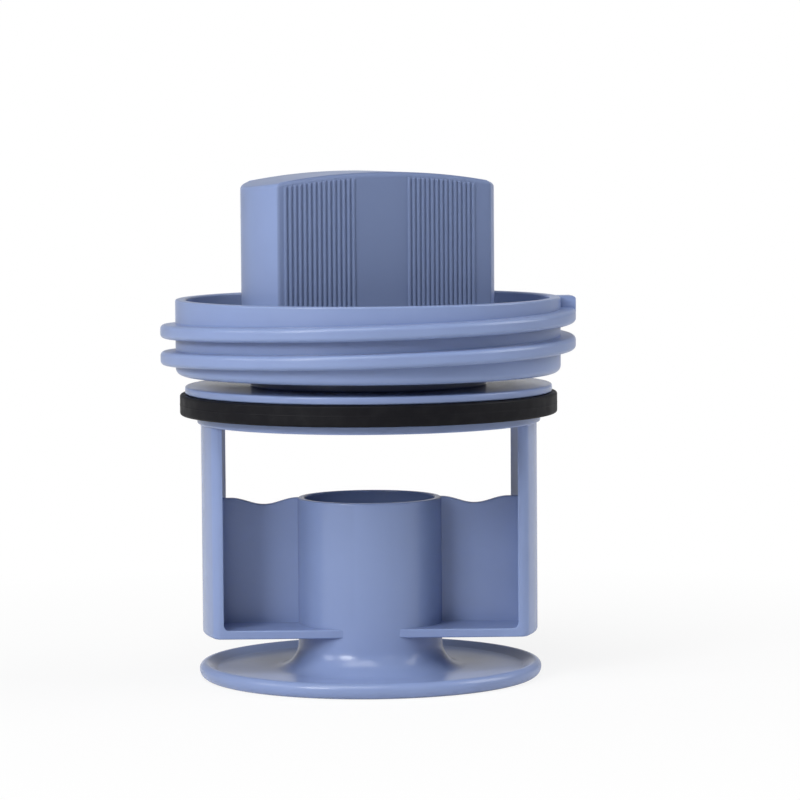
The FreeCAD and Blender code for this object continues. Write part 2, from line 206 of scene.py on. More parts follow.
# %% Uniting skins into one moulding
CRISP_ANGLE = 32.0

def crisp_edges(mesh):
    """Smooth faces everywhere, with a sharp edge where two faces meet at more than the angle."""
    work = bmesh.new()
    work.from_mesh(mesh)
    bmesh.ops.dissolve_degenerate(work, dist=WELD, edges=work.edges)
    limit = radians(CRISP_ANGLE)
    for face in work.faces:
        face.smooth = True
    for edge in work.edges:
        edge.smooth = edge.is_manifold and edge.calc_face_angle(0.0) < limit
    work.to_mesh(mesh)
    work.free()

def moulding(name, skins, body, node):
    base = skins[0]
    for other in skins[1:]:
        union = base.modifiers.new(other.name, "BOOLEAN")
        union.operation, union.solver, union.object = "UNION", "MANIFOLD", other
    shape = base.evaluated_get(bpy.context.evaluated_depsgraph_get())
    mesh = bpy.data.meshes.new_from_object(shape)
    mesh.name = name
    mesh.materials.clear()
    crisp_edges(mesh)
    piece = bpy.data.objects.new(name, mesh)
    bpy.context.scene.collection.objects.link(piece)
    for old in skins:
        bpy.data.objects.remove(old)
    piece.modifiers.new("flat_walls", "WEIGHTED_NORMAL").keep_sharp = True
    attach(piece, body)
    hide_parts(node)
    print(name, "has", len(mesh.polygons), "faces")
    return piece

# %% [markdown]
# The insert's foot is a saucer with a low lip, and a tube stands in its middle on a flare. On
# the real part this is one turned form in the mould, so it is one section turned about the axis.
# The lip is a bead: one round crest, and inside it a slope that touches the crest. A line from
# the floor touches the crest where its sine is the crest's radius over the distance to its centre.
# The crest's two corners take arcs a hair smaller than its radius, so that they don't overlap.

# %% Saucer and tube
SAUCER_RADIUS = 29.0
SAUCER_FLOOR = 1.6
LIP_HEIGHT = 2.6
LIP_WIDTH = 3.1
LIP_ROUND = 1.0
SLOPE = asin(LIP_ROUND / (LIP_WIDTH - LIP_ROUND))
LIP_LAND = LIP_ROUND * (1 + tan(SLOPE / 2))
LIP_CREST = LIP_ROUND * 0.99
SAUCER_EDGE_ROUND = 1.5
LIP_FOOT_ROUND = 1.0
FLARE_RADIUS = 4.2
TUBE_RADIUS = 12.2
TUBE_WALL = 1.15
TUBE_BORE = TUBE_RADIUS - TUBE_WALL
TUBE_EDGE_ROUND = 0.3
SAUCER_STEPS = 9
LOWER_FLANGE = 1.45
WINDOW_HEIGHT = 12.85
CARRIER_BOTTOM = RING_BOTTOM - LOWER_FLANGE
TUBE_TOP = CARRIER_BOTTOM - WINDOW_HEIGHT

saucer_section = [
    (TUBE_BORE, insert_low[2], TUBE_EDGE_ROUND),
    (SAUCER_RADIUS, insert_low[2], SAUCER_EDGE_ROUND),
    (SAUCER_RADIUS, LIP_HEIGHT, LIP_CREST),
    (SAUCER_RADIUS - LIP_LAND, LIP_HEIGHT, LIP_CREST),
    (SAUCER_RADIUS - LIP_WIDTH, SAUCER_FLOOR, LIP_FOOT_ROUND),
    (TUBE_RADIUS, SAUCER_FLOOR, FLARE_RADIUS),
    (TUBE_RADIUS, TUBE_TOP, TUBE_EDGE_ROUND),
    (TUBE_BORE, TUBE_TOP, TUBE_EDGE_ROUND),
]
saucer = turned("saucer", rounded_section(saucer_section, steps=SAUCER_STEPS))
print("tube top at", round(TUBE_TOP, 2), "mm, saucer", 2 * SAUCER_RADIUS, "mm across")

# %% [markdown]
# Two legs stand on a shelf and carry the barrel. Leg and shelf are one L-shaped strip of a drum:
# its outside follows the drum's radius, so the L changes a little from front to back. A row is
# the L at one depth. Towards the two cut faces the L shrinks a little, which gives every edge a
# fine round, and its outer side draws in further, because a leg's outer edges are well rounded.

# %% Legs and shelf
SHELF_CLEARANCE = 6.15
SHELF_BOTTOM = SAUCER_FLOOR + SHELF_CLEARANCE
SHELF_THICKNESS = 1.45
SHELF_TOP = SHELF_BOTTOM + SHELF_THICKNESS
BARREL_RADIUS = 28.4
BARREL_WALL = 2.2
LEG_WALL = 1.45
LEG_WIDTH = 22.5
LEG_EDGE_ROUND = 1.0
LEG_FOOT_ROUND = 0.5
LEG_INNER_ROUND = 0.9
EDGE_ROUND = 0.22
CORNER_ROUND = EDGE_ROUND * 1.2
IN_TUBE_WALL = TUBE_RADIUS - TUBE_WALL / 2

def round_off(depth, length, radius):
    """How far a round of a radius lies below its flat at a depth: the height of a circle's segment."""
    into = np.clip(np.abs(depth) - (length / 2 - radius), 0, radius)
    return radius - np.sqrt(radius ** 2 - into ** 2)

def leg_outline(depth, draw_in):
    """The L at a depth: leg, foot round and shelf as far as the tube, all following their radii."""
    outside = np.sqrt(BARREL_RADIUS ** 2 - depth ** 2) - draw_in
    inside = np.sqrt((BARREL_RADIUS - LEG_WALL) ** 2 - depth ** 2)
    tube = np.sqrt(IN_TUBE_WALL ** 2 - depth ** 2)
    top = CARRIER_BOTTOM + LOWER_FLANGE / 2
    corners = [(tube, SHELF_BOTTOM), (outside, SHELF_BOTTOM), (outside, top), (inside, top),
               (inside, SHELF_TOP), (tube, SHELF_TOP)]
    rounds = [CORNER_ROUND, LEG_FOOT_ROUND, CORNER_ROUND, CORNER_ROUND, LEG_INNER_ROUND, CORNER_ROUND]
    return rounded(corners, rounds)

def leg(side):
    """The L carried from front to back. side is 1 for the right leg and -1 for the left one."""
    lean = np.linspace(0, np.pi / 2, 11)
    out = LEG_WIDTH / 2 - LEG_EDGE_ROUND * (1 - np.sin(lean))
    depth = np.concatenate([-out[::-1], np.linspace(-out[0], out[0], 17)[1:-1], out])
    shrink = round_off(depth, LEG_WIDTH, EDGE_ROUND)
    draw_in = round_off(depth, LEG_WIDTH, LEG_EDGE_ROUND) - shrink
    middle = leg_outline(0, 0)
    rows = []
    for y, inset, draw in zip(depth, shrink, draw_in):
        outline = stepped(leg_outline(y, draw), LONGEST_STEP, model=middle)
        outline = shrunk(outline, inset)
        rows.append(np.stack([side * outline[:, 0], 0 * outline[:, 0] + y, outline[:, 1]], 1))
    return skin("leg", rows, capped=True)

# %% [markdown]
# Between the tube and each leg stands a thin plate, a web, which keeps the tall tube from bending.
# Its top edge isn't straight: beside the tube it dips and rises again. A plate cut out by hand
# would do, but a section carried outwards, whose top follows a cosine, gives the same soft wave.

# %% The webs
WEB_THICKNESS = 1.5
WEB_DIP = 1.1
WEB_WAVE = 11.3

def web(side):
    """A thin plate from tube to leg. Beside the tube its top edge dips by one wave of a cosine."""
    stop = BARREL_RADIUS - LEG_WALL / 2
    foot = SHELF_TOP - SHELF_THICKNESS / 2
    half = WEB_THICKNESS / 2
    rows = []
    for place in np.linspace(IN_TUBE_WALL, stop, 41):
        wave = np.clip((place - TUBE_RADIUS) / WEB_WAVE, 0, 1)
        top = TUBE_TOP - WEB_DIP * (1 - cos(2 * np.pi * wave)) / 2
        outline = rounded([(-half, foot), (half, foot), (half, top), (-half, top)], EDGE_ROUND)
        rows.append(np.stack([np.full(len(outline), side * place), outline[:, 0], outline[:, 1]], 1))
    return skin("web", rows, capped=True)

# %% [markdown]
# The barrel carries the rubber ring between two flanges. A plate closes it and sinks into a
# central well, where the cap's tongues are held under a ledge. All of it is round, so it is again
# one turned section, which starts and ends on the axis.

# %% Carrier, and the insert as one moulding
UPPER_FLANGE = 1.3
LOWER_FLANGE_REACH = 0.6
LOWER_FLANGE_RADIUS = BARREL_RADIUS + LOWER_FLANGE_REACH
RING_PLAY = 0.05
WELL_RADIUS = 19.9
WELL_WALL = 1.2
WELL_FLOOR = 1.4
WELL_LEDGE = 0.6
LEDGE_LENGTH = 3.55
SNAP_PLAY = 0.15
PLATE_BOTTOM = RING_TOP + RING_PLAY
PLATE_TOP = PLATE_BOTTOM + UPPER_FLANGE
BARREL_BORE = BARREL_RADIUS - BARREL_WALL
WELL_BORE = WELL_RADIUS - WELL_WALL
WELL_UNDERCUT = WELL_BORE + WELL_LEDGE
WELL_SKIRT = WELL_UNDERCUT + WELL_WALL
WELL_BED = TONGUE_TIP - SNAP_PLAY
WELL_UNDERSIDE = WELL_BED - WELL_FLOOR
LEDGE_BOTTOM = WELL_TOP - LEDGE_LENGTH
FLANGE_ROUND = 0.3
GROOVE_ROUND = 0.15
LEDGE_ROUND = 0.1

carrier_section = [
    (0, WELL_UNDERSIDE, 0),
    (WELL_SKIRT, WELL_UNDERSIDE, 0.4),
    (WELL_SKIRT, PLATE_BOTTOM, 0.3),
    (BARREL_BORE, PLATE_BOTTOM, 0.4),
    (BARREL_BORE, CARRIER_BOTTOM, 0.25),
    (LOWER_FLANGE_RADIUS, CARRIER_BOTTOM, FLANGE_ROUND),
    (LOWER_FLANGE_RADIUS, RING_BOTTOM, FLANGE_ROUND),
    (BARREL_RADIUS, RING_BOTTOM, GROOVE_ROUND),
    (BARREL_RADIUS, PLATE_BOTTOM, GROOVE_ROUND),
    (FLANGE_RADIUS, PLATE_BOTTOM, FLANGE_ROUND),
    (FLANGE_RADIUS, PLATE_TOP, 0.35),
    (WELL_RADIUS, PLATE_TOP, 0.25),
    (WELL_RADIUS, WELL_TOP, GROOVE_ROUND),
    (WELL_BORE, WELL_TOP, GROOVE_ROUND),
    (WELL_BORE, LEDGE_BOTTOM, LEDGE_ROUND),
    (WELL_UNDERCUT, LEDGE_BOTTOM, LEDGE_ROUND),
    (WELL_UNDERCUT, WELL_BED, 0.2),
    (0, WELL_BED, 0),
]
carrier = turned("carrier", rounded_section(carrier_section, closed=False), closed=False)
insert_skins = [saucer, leg(1), leg(-1), web(1), web(-1), carrier]
insert_moulding = moulding("insert_moulding", insert_skins, "insert", "filter_insert")

# %% [markdown]
# The sealing ring is rubber of nearly square section. A rubber ring shows the line where the two
# halves of its mould met, a fine bead round the middle of its outer face. A bump in the material
# could fake it, but here the bead is three more corners of the turned section.

# %% Sealing ring
RING_INNER = BARREL_RADIUS + RING_PLAY
RING_EDGE = 0.4
RING_SEAT_ROUND = 0.15
BEAD_HALF = 0.12
BEAD_PROUD = 0.03
BEAD_FOOT_ROUND = 0.03
BEAD_TOP_ROUND = 0.04
RING_MIDDLE = (RING_BOTTOM + RING_TOP) / 2
ring_face = RING_RADIUS - BEAD_PROUD
ring_section = [
    (RING_INNER, RING_BOTTOM, RING_SEAT_ROUND),
    (ring_face, RING_BOTTOM, RING_EDGE),
    (ring_face, RING_MIDDLE - BEAD_HALF, BEAD_FOOT_ROUND),
    (RING_RADIUS, RING_MIDDLE, BEAD_TOP_ROUND),
    (ring_face, RING_MIDDLE + BEAD_HALF, BEAD_FOOT_ROUND),
    (ring_face, RING_TOP, RING_EDGE),
    (RING_INNER, RING_TOP, RING_SEAT_ROUND),
]
ring_skin = turned("ring", rounded_section(ring_section))
seal = moulding("seal", [ring_skin], "insert", "sealing_ring")

# %% [markdown]
# The cap's grip is a hollow bar with round ends and gently bulging faces. The same outline is
# needed for the bar, for its hollow and for the mouth in the cup's floor, so it is a function:
# two arcs about the axis, two wide arcs for the faces, and a small arc at each of the four corners.

# %% The grip's outline
GRIP_LENGTH = 42.7
GRIP_THICKNESS = 24.4
GRIP_CORNER = 22.0
GRIP_WALL = 2.2
GRIP_ROUND = 0.8
GRIP_TURN = 15.0
CROWN_RADIUS = 105.0
NECK_WALL = 1.2
NECK_PLAY = 0.05
NECK_RADIUS = WELL_BORE - NECK_PLAY
NECK_BORE = NECK_RADIUS - NECK_WALL

def face_arc(end, middle, corner):
    """Radius of a long face, and how far its centre lies behind the axis: the circle through the
    middle of the face and its two corners."""
    half = np.sqrt(end ** 2 - corner ** 2)
    bulge = middle - corner
    radius = (half ** 2 + bulge ** 2) / (2 * bulge)
    return radius, middle - radius

def bar_reach(angle, end, middle, corner):
    """Distance from the axis to a bar's side in a direction: the nearer of the round end and the
    long face, the face by the chord formula for a ray that starts inside a circle."""
    radius, centre = face_arc(end, middle, corner)
    rise = np.abs(np.sin(angle)) * centre
    return np.minimum(end, rise + np.sqrt(rise ** 2 - centre ** 2 + radius ** 2))

# %% [markdown]
# Fine ribs run up the two long faces in two groups of fifteen. Each rib is half round, so the
# outline carries them: beside its flat points it has nine points for every rib, and each rib
# point stands off the face by the rib's radius times a cosine.

# %% Ribs along a face
RIBS_PER_GROUP = 15
RIB_PITCH = 0.81
RIB_RADIUS = 0.3
RIB_GROUP_SPACING = 20.9
RIB_GROUP_SHIFT = 1.0
RIB_POINTS = 9

def rib_places():
    """Middles of the ribs along the back face: an even run of places round each group's middle.
    The front face is the back face turned half round, so its places have the other sign."""
    run = (np.arange(RIBS_PER_GROUP) - (RIBS_PER_GROUP - 1) / 2) * RIB_PITCH
    middles = RIB_GROUP_SHIFT + np.array([-0.5, 0.5]) * RIB_GROUP_SPACING
    return (middles[:, None] + run).ravel()

def face_points(half):
    """Places along a face from -half to half, and the height of the ribs there."""
    lean = np.linspace(-np.pi / 2, np.pi / 2, RIB_POINTS)
    place = (rib_places()[:, None] + RIB_RADIUS * np.sin(lean)).ravel()
    height = np.tile(RIB_RADIUS * np.cos(lean), 2 * RIBS_PER_GROUP)
    plain = np.linspace(-half, half, 41)
    free = np.abs(plain[:, None] - rib_places()).min(1) > RIB_PITCH
    place, height = np.append(place, plain[free]), np.append(height, 0 * plain[free])
    order = np.argsort(place, kind="stable")
    return place[order], height[order]

def grip_outline():
    """Points, outward normals and rib heights once round the bar, before it is turned to rest.
    The corner arc's centre is where circles drawn one corner radius inside both arcs cross."""
    end, middle = GRIP_LENGTH / 2, GRIP_THICKNESS / 2
    radius, centre = face_arc(end, middle, GRIP_CORNER / 2)
    inner_end, inner_face = end - GRIP_ROUND, radius - GRIP_ROUND
    y = (inner_end ** 2 - inner_face ** 2 + centre ** 2) / (2 * centre)
    corner = np.array([np.sqrt(inner_end ** 2 - y ** 2), y])
    end_angle = np.arctan2(corner[1], corner[0])
    face_angle = np.arctan2(corner[1] - centre, corner[0])
    half = radius * np.cos(face_angle)
    turn = np.linspace(-end_angle, end_angle, 33)
    end_normal = np.stack([np.cos(turn), np.sin(turn)], 1)
    bend = np.linspace(end_angle, face_angle, 8)[1:-1]
    bend_normal = np.stack([np.cos(bend), np.sin(bend)], 1)
    place, height = face_points(half)
    tilt = np.arcsin(-place[::-1] / radius)
    face_normal = np.stack([-np.sin(tilt), np.cos(tilt)], 1)
    points = np.concatenate([
        end * end_normal,
        corner + GRIP_ROUND * bend_normal,
        [0, centre] + radius * face_normal,
        corner * [-1, 1] + GRIP_ROUND * bend_normal[::-1] * [-1, 1],
    ])
    normals = np.concatenate([end_normal, bend_normal, face_normal, bend_normal[::-1] * [-1, 1]])
    ribs = np.concatenate([0 * turn, 0 * bend, height[::-1], 0 * bend])
    return np.concatenate([points, -points]), np.concatenate([normals, -normals]), np.tile(ribs, 2)

# %% [markdown]
# The bar's skin runs from the middle of the arched top outwards, over the edge round, down the
# ribbed sides to the cup's floor, and back up inside the hollow. Row by row it is always the same
# outline, moved in or out. The ribs fade out just below the edge, as they do on the real grip.

# %% The grip's heights and its hollow
THRUST_GAP = 0.2
CUP_FLOOR = 2.0
GRIP_SEAT = 0.5
RIB_TOP_MARGIN = 0.85
RIB_FADE = 0.3
CUP_BOTTOM = WELL_TOP + THRUST_GAP
FLOOR_TOP = CUP_BOTTOM + CUP_FLOOR
GRIP_FOOT = FLOOR_TOP - GRIP_SEAT
CUP_HEIGHT = 12.7
RIM_TOP = CUP_BOTTOM + CUP_HEIGHT
GRIP_ABOVE_RIM = 21.3
GRIP_TOP = RIM_TOP + GRIP_ABOVE_RIM

def crown_drop(place):
    """How far the arched top lies below its peak: the height of a circle's segment."""
    return CROWN_RADIUS - np.sqrt(CROWN_RADIUS ** 2 - place ** 2)

def hollow_reach(angle):
    """Distance from the axis to the side of the hollow: the bar's outline less its wall."""
    return bar_reach(angle, NECK_BORE, GRIP_THICKNESS / 2 - GRIP_WALL, GRIP_CORNER / 2 - GRIP_WALL)

# %% The grip's skin
def grip_rows():
    """The outline row by row: over the arched top, round its edge by a quarter circle, down the
    sides while the ribs rise as a quarter circle does, then up inside and together on the axis."""
    points, normals, ribs = grip_outline()
    top = GRIP_TOP - crown_drop(points[:, 0])
    rows = []
    inner = points - GRIP_ROUND * normals
    for share in np.linspace(0, 1, 15)[:-1]:
        place = inner * share
        rows.append(np.column_stack([place, GRIP_TOP - crown_drop(place[:, 0])]))
    for a in np.linspace(0, np.pi / 2, 9):
        place = points - GRIP_ROUND * (1 - np.sin(a)) * normals
        rows.append(np.column_stack([place, top - GRIP_ROUND * (1 - np.cos(a))]))
    for fade in np.linspace(0, 1, 6):
        place = points + (ribs * np.sqrt(fade * (2 - fade)))[:, None] * normals
        rows.append(np.column_stack([place, top - RIB_TOP_MARGIN - RIB_FADE * fade]))
    ribbed = points + ribs[:, None] * normals
    for share in np.linspace(0, 1, 9)[1:]:
        height = (top - RIB_TOP_MARGIN - RIB_FADE) * (1 - share) + GRIP_FOOT * share
        rows.append(np.column_stack([ribbed, height]))
    angle = np.arctan2(points[:, 1], points[:, 0])
    reach = hollow_reach(angle)
    hollow = np.stack([reach * np.cos(angle), reach * np.sin(angle)], 1)
    rows.append(np.column_stack([hollow, 0 * reach + GRIP_FOOT]))
    for share in (1, 0.75, 0.5, 0.25, 0):
        place = hollow * share
        rows.append(np.column_stack([place, GRIP_TOP - GRIP_WALL - crown_drop(place[:, 0])]))
    return np.array(rows)

def turned_to_rest(rows):
    """The grip stands a little turned from the legs: x and y go round the axis by the grip's turn."""
    c, s = cos(radians(GRIP_TURN)), sin(radians(GRIP_TURN))
    return np.stack([c * rows[..., 0] - s * rows[..., 1], s * rows[..., 0] + c * rows[..., 1],
                     rows[..., 2]], -1)

grip = skin("grip", turned_to_rest(grip_rows()))
print("ribs on the grip:", 2 * len(rib_places()), "and the crown's top at", round(GRIP_TOP, 2), "mm")

# %% [markdown]
# The cup is a turned section with one exception: the mouth in its floor has the bar's outline.
# So the points of the mouth take their radius from the outline in each direction, and all other
# points keep one radius all the way round.

# %% The cup
CUP_RADIUS = 32.5
CUP_WALL = 1.8
CUP_BOTTOM_ROUND = 1.2
CUP_INNER_ROUND = 1.0
CUP_RIM_ROUND = 0.3
MOUTH_ROUND = 0.2
MOUTH_EASE = 0.06
CUP_STEPS = 8

def cup():
    """The section about the axis. In the mouth each point goes outwards by the outline's distance
    from the axis in its direction, less the neck's bore, so the mouth gets the bar's outline."""
    inner = CUP_RADIUS - CUP_WALL
    section = rounded_section([
        (NECK_BORE, CUP_BOTTOM, MOUTH_ROUND),
        (CUP_RADIUS, CUP_BOTTOM, CUP_BOTTOM_ROUND),
        (CUP_RADIUS, RIM_TOP, CUP_RIM_ROUND),
        (inner, RIM_TOP, CUP_RIM_ROUND),
        (inner, FLOOR_TOP, CUP_INNER_ROUND),
        (NECK_BORE, FLOOR_TOP, MOUTH_ROUND),
    ], steps=CUP_STEPS)
    section = stepped(section, LONGEST_STEP)
    angles = np.linspace(0, 2 * np.pi, TURN_STEPS, endpoint=False)
    rows = about_axis(section, angles)
    mouth = section[:, 0] < NECK_RADIUS
    reach = hollow_reach(angles - radians(GRIP_TURN))
    radius = section[mouth, 0, None] + reach - NECK_BORE + MOUTH_EASE
    rows[mouth, :, 0] = radius * np.cos(angles)
    rows[mouth, :, 1] = radius * np.sin(angles)
    return skin("cup", rows, along=True)

# %% [markdown]
# The coarse thread is one ridge wound 1.64 times round the cup. Its section, a blunt wedge with
# rounded crest corners, is carried up a helix. At its start the ridge is planed flat, so that it
# rises out of the wall. That plane is a chord of the cup, and a chord's distance from the axis
# is the cup's radius divided by the cosine of the angle from its middle, so no point of
# the ridge may stand further out than that. The ridge ends in a block that stops the cap.

# %% The thread's ridge
THREAD_DEPTH = 2.55
THREAD_PITCH = 4.5
ROOT_WIDTH = 2.5
CREST_WIDTH = 2.3
CREST_ROUND = 0.75
THREAD_BELOW_RIM = 3.05
THREAD_TURNS = 1.64
THREAD_ROOTED = 0.5
RIDGE_ROOT_ROUND = 0.1
RIDGE_STEPS = 9
STOP_ANGLE = 8.0
STOP_SUNK = 0.02

def ridge():
    """The section carried up a helix: its height falls by one pitch for each turn back from the
    end. In the first eighth turn the radius is held under the plane's distance from the axis."""
    root, crest = CUP_RADIUS - THREAD_ROOTED, CUP_RADIUS + THREAD_DEPTH
    section = rounded_section([
        (root, -ROOT_WIDTH / 2, RIDGE_ROOT_ROUND),
        (crest, -CREST_WIDTH / 2, CREST_ROUND),
        (crest, CREST_WIDTH / 2, CREST_ROUND),
        (root, ROOT_WIDTH / 2, RIDGE_ROOT_ROUND),
    ], steps=RIDGE_STEPS)
    angle = np.linspace(0, 2 * np.pi * THREAD_TURNS, int(TURN_STEPS * THREAD_TURNS))[:, None]
    away = np.minimum(angle, np.pi / 4)
    r = np.minimum(section[:, 0] + 0 * angle, CUP_RADIUS / np.cos(away) - STOP_SUNK)
    z = section[:, 1] + RIM_TOP - THREAD_BELOW_RIM - THREAD_PITCH * (THREAD_TURNS - angle / (2 * np.pi))
    place = angle - 2 * np.pi * THREAD_TURNS + radians(STOP_ANGLE / 2)
    return skin("ridge", np.stack([r * np.cos(place), r * np.sin(place), z], -1), capped=True)

# %% [markdown]
# The stop block and the six snap tongues are short stretches of a turned form with an end at each
# side. They could be cut from a whole ring, but it is simpler to carry their section from one
# angle to another and to draw it in a little at both ends, which rounds the end's edges. The
# tongues hook under the insert's ledge by their barbs, with play all round, so the cap can turn.

# %% Stop block and snap tongues
STOP_EDGE = 0.45
STOP_ROUND = STOP_EDGE + 0.05
BARB_LAND = 0.9
TONGUE_COUNT = 6
TONGUE_SLOT = 2.6
TONGUE_EDGE = 0.1
TONGUE_ROUND = 0.12
TONGUE_SUNK = 0.04

def depth_rows(length, edge, spans):
    """Depths along a bar and the inset at each: a quarter round at both ends, even steps between."""
    a = np.linspace(0, np.pi / 2, 5)
    out = length / 2 - edge * (1 - np.sin(a))
    inset = edge * (1 - np.cos(a[::-1]))
    middle = np.linspace(-out[0], out[0], spans)[1:-1]
    depth = np.concatenate([-out[::-1], middle, out])
    return depth, np.concatenate([inset[::-1], 0 * middle, inset])

def sector(name, outline, start, stop, edge, spans, gap=0.0):
    """A section carried about the axis from one angle to another, with rounded ends. gap is left
    free at each end, measured in mm at right angles to the end, so it is an angle of asin(gap / r)."""
    middle_radius = outline[:, 0].mean()
    depth, inset = depth_rows(middle_radius * (stop - start), edge, spans)
    rows = []
    for d, shrink in zip(depth, inset):
        points = shrunk(outline, shrink)
        trim = np.arcsin(gap / points[:, 0])
        share = d / (middle_radius * (stop - start)) + 0.5
        angle = start + trim + share * (stop - start - 2 * trim)
        r, z = points.T
        rows.append(np.stack([r * np.cos(angle), r * np.sin(angle), z], 1))
    return skin(name, rows, capped=True)

def stop_block():
    """A square section between the thread's last turn and the rim."""
    low = RIM_TOP - THREAD_BELOW_RIM - ROOT_WIDTH / 2
    high = RIM_TOP - STOP_SUNK
    root = CUP_RADIUS - CUP_WALL / 2
    outline = rounded([(root, low), (STOP_RADIUS, low), (STOP_RADIUS, high), (root, high)], STOP_ROUND)
    return sector("stop", outline, 0.0, radians(STOP_ANGLE), STOP_EDGE, spans=5)

def tongue(index):
    """A tongue with its barb, rooted in the cup's floor. Half a slot is left free at each side."""
    barb_top = LEDGE_BOTTOM - SNAP_PLAY
    barb = WELL_UNDERCUT - SNAP_PLAY
    inside = NECK_BORE + TONGUE_SUNK
    root = CUP_BOTTOM + CUP_FLOOR / 2
    corners = [
        (inside, TONGUE_TIP),
        (NECK_RADIUS - NECK_PLAY, TONGUE_TIP),
        (barb, barb_top - BARB_LAND),
        (barb, barb_top),
        (NECK_RADIUS, barb_top),
        (NECK_RADIUS, root),
        (inside, root),
    ]
    outline = rounded(corners, TONGUE_ROUND, steps=4)
    step = 2 * np.pi / TONGUE_COUNT
    start = (index - 0.5) * step
    return sector("tongue%d" % index, outline, start, start + step, TONGUE_EDGE, spans=15,
                  gap=TONGUE_SLOT / 2)

cap_skins = [cup(), grip, ridge(), stop_block()] + [tongue(index) for index in range(TONGUE_COUNT)]
cap_moulding = moulding("cap_moulding", cap_skins, "cap", "screw_cap")

# %% [markdown]
# The mouldings are a hard, slightly milky plastic. Its colour is even, yet never quite flat: the
# pigment drifts a little from place to place, the walls are not quite true, the surface has a fine
# grain from the mould, and the gloss changes a little where the part was handled. All of that reads
# Object coordinates, so it sits still on the piece whatever the view. The two ribbed faces of the
# grip are rougher and have less sheen, and their colour is darkened as painted shade.
# The grip's round ends are satin like the cup round it, and the insert is glossy.

# %% Helpers that join nodes
def new_material(name):
    """A material with its node tree, its main shader and the place on the piece in metres."""
    material = bpy.data.materials.new(name)
    material.use_nodes = True
    tree = material.node_tree
    shader = tree.nodes["Principled BSDF"]
    place = tree.nodes.new("ShaderNodeTexCoord").outputs["Object"]
    return material, tree, shader, place

def noise(tree, place, scale, detail):
    """A noise texture on the piece, scale in waves per metre and detail in layers of finer noise."""
    texture = tree.nodes.new("ShaderNodeTexNoise")
    texture.inputs["Scale"].default_value = scale
    texture.inputs["Detail"].default_value = detail
    tree.links.new(place, texture.inputs["Vector"])
    return texture.outputs["Fac"]

def ranged(tree, value, low, high, to_low, to_high):
    """The value carried in a straight line from low and high to two new ends, and held there."""
    node = tree.nodes.new("ShaderNodeMapRange")
    for name, number in (("From Min", low), ("From Max", high), ("To Min", to_low), ("To Max", to_high)):
        node.inputs[name].default_value = number
    tree.links.new(value, node.inputs["Value"])
    return node.outputs["Result"]

def joined(tree, operation, first, second):
    """Two values put together by a Math node, whose operation is ADD or MULTIPLY here."""
    node = tree.nodes.new("ShaderNodeMath")
    node.operation = operation
    tree.links.new(first, node.inputs[0])
    tree.links.new(second, node.inputs[1])
    return node.outputs["Value"]

def mixed(tree, factor, first, second):
    """A colour between two: each is a colour of numbers or the output of a node."""
    node = tree.nodes.new("ShaderNodeMix")
    node.data_type = "RGBA"
    tree.links.new(factor, node.inputs["Factor"])
    for name, colour in (("A", first), ("B", second)):
        socket = next(s for s in node.inputs if s.name == name and s.type == "RGBA")
        if isinstance(colour, bpy.types.NodeSocket):
            tree.links.new(colour, socket)
        else:
            socket.default_value = (*colour, 1)
    return next(s for s in node.outputs if s.type == "RGBA")

def bump(tree, shader, layers):
    """Bump nodes in a chain, one for each (height, strength, distance in metres)."""
    normal = None
    for height, strength, distance in layers:
        node = tree.nodes.new("ShaderNodeBump")
        node.inputs["Strength"].default_value = strength
        node.inputs["Distance"].default_value = distance
        tree.links.new(height, node.inputs["Height"])
        if normal is not None:
            tree.links.new(normal, node.inputs["Normal"])
        normal = node.outputs["Normal"]
    tree.links.new(normal, shader.inputs["Normal"])

def off_axis(tree, place):
    """Distance from the axis in metres: the length of the place with its height struck out."""
    flat = tree.nodes.new("ShaderNodeVectorMath")
    flat.operation = "MULTIPLY"
    flat.inputs[1].default_value = (1, 1, 0)
    length = tree.nodes.new("ShaderNodeVectorMath")
    length.operation = "LENGTH"
    tree.links.new(place, flat.inputs[0])
    tree.links.new(flat.outputs["Vector"], length.inputs[0])
    return length.outputs["Value"]

# %% [markdown]
# The ribbed faces belong to the same moulding as the cup, so their rougher finish and their painted
# shade need a mask. It could be painted, or be a second material on chosen faces. Here two
# distances find the place: how far a point is from the bar's middle plane, and how far it is from the
# axis.

# %% Where the grip is matt and painted darker
MATT_WITHIN, SATIN_BEYOND = 0.024, 0.027
FACE_BEGINS, FACE_FULL = 0.0004, 0.0001

def on_bar_faces(tree, place):
    """One on the long faces of the grip and nought elsewhere: the distance from the bar's middle
    plane, which is a dot product with the bar's cross direction, is that of a face, and the
    distance from the axis is less than the cup's."""
    across = tree.nodes.new("ShaderNodeVectorMath")
    across.operation = "DOT_PRODUCT"
    across.inputs[1].default_value = (-sin(radians(GRIP_TURN)), cos(radians(GRIP_TURN)), 0)
    away = tree.nodes.new("ShaderNodeMath")
    away.operation = "ABSOLUTE"
    tree.links.new(place, across.inputs[0])
    tree.links.new(across.outputs["Value"], away.inputs[0])
    corner = GRIP_CORNER / 2 * MM
    far_enough = ranged(tree, away.outputs["Value"], corner - FACE_BEGINS, corner - FACE_FULL, 0, 1)
    near_enough = ranged(tree, off_axis(tree, place), MATT_WITHIN, SATIN_BEYOND, 1, 0)
    return joined(tree, "MULTIPLY", far_enough, near_enough)

# %% Glossy insert and satin cap
PLASTIC_BLUE = (0.21, 0.275, 0.475)
SPECULAR = 0.4
MATT_SHEEN = 0.5
DRIFT_WAVES, DRIFT = 45, 0.05
SMUDGE_WAVES, SMUDGE = 120, 0.02
UNEVEN_WAVES, UNEVEN_STRENGTH, UNEVEN_HEIGHT = 90, 0.3, 0.0001
GRAIN_WAVES, GRAIN_HEIGHT = 5200, 0.00002
PLASTIC_IOR = 1.49
MILKY_SHARE, MILKY_TINT, MILKY_DEPTH = 0.08, (0.7, 0.8, 1.0), 0.0012

